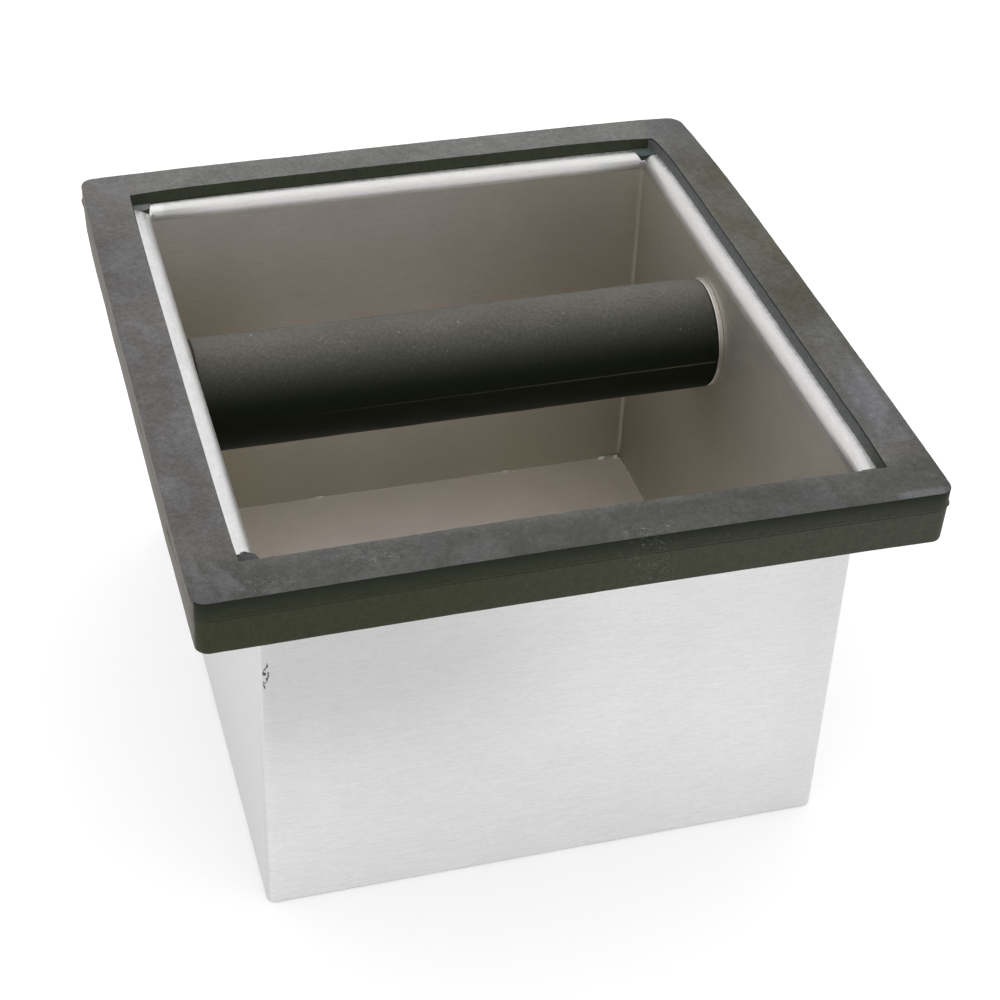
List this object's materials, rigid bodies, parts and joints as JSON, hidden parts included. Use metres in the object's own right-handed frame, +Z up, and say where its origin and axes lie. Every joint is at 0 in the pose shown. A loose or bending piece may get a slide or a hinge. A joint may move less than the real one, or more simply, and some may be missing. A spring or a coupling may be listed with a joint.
{
  "type": "espresso knock box",
  "caption": "Open steel pan with a thick rubber frame round its rim and a rubber-sleeved knock bar across it, for emptying spent coffee.",
  "frame": {"origin": "centre of the pan's underside, on the surface it stands on", "axes": "+X to the right along the knock bar, +Y to the back, the side the bar is nearer, +Z up out of the open top"},
  "size_m": [0.1714, 0.1832, 0.1074],
  "materials": {
    "pan_steel": "fine horizontal grain",
    "weld_metal": "ground weld",
    "frame_rubber": "moulded, matt, with a dusty bloom",
    "sleeve_rubber": "moulded, matt",
    "bar_steel": "bright drawn rod",
    "disc_steel": "turned",
    "fastener_steel": "plain stainless"
  },
  "bodies": {
    "pan": {"pan_walls": "pan_steel", "pan_floor": "pan_steel", "corner_seam_weld": "weld_metal", "floor_welds": "weld_metal", "rubber_frame": "frame_rubber", "bar_core": "bar_steel", "end_disc_left": "disc_steel", "end_disc_right": "disc_steel", "washer_left": "fastener_steel", "washer_right": "fastener_steel", "lock_washer_left": "fastener_steel", "lock_washer_right": "fastener_steel", "bar_screw_left": "fastener_steel", "bar_screw_right": "fastener_steel"},
    "sleeve": {"bar_sleeve": "sleeve_rubber"}
  },
  "joints": [
    {"name": "sleeve_turn", "type": "hinge", "parent": "pan", "child": "sleeve", "pos_m": [0, 0.0208, 0.0814], "axis": [1, 0, 0], "continuous": true}
  ]
}
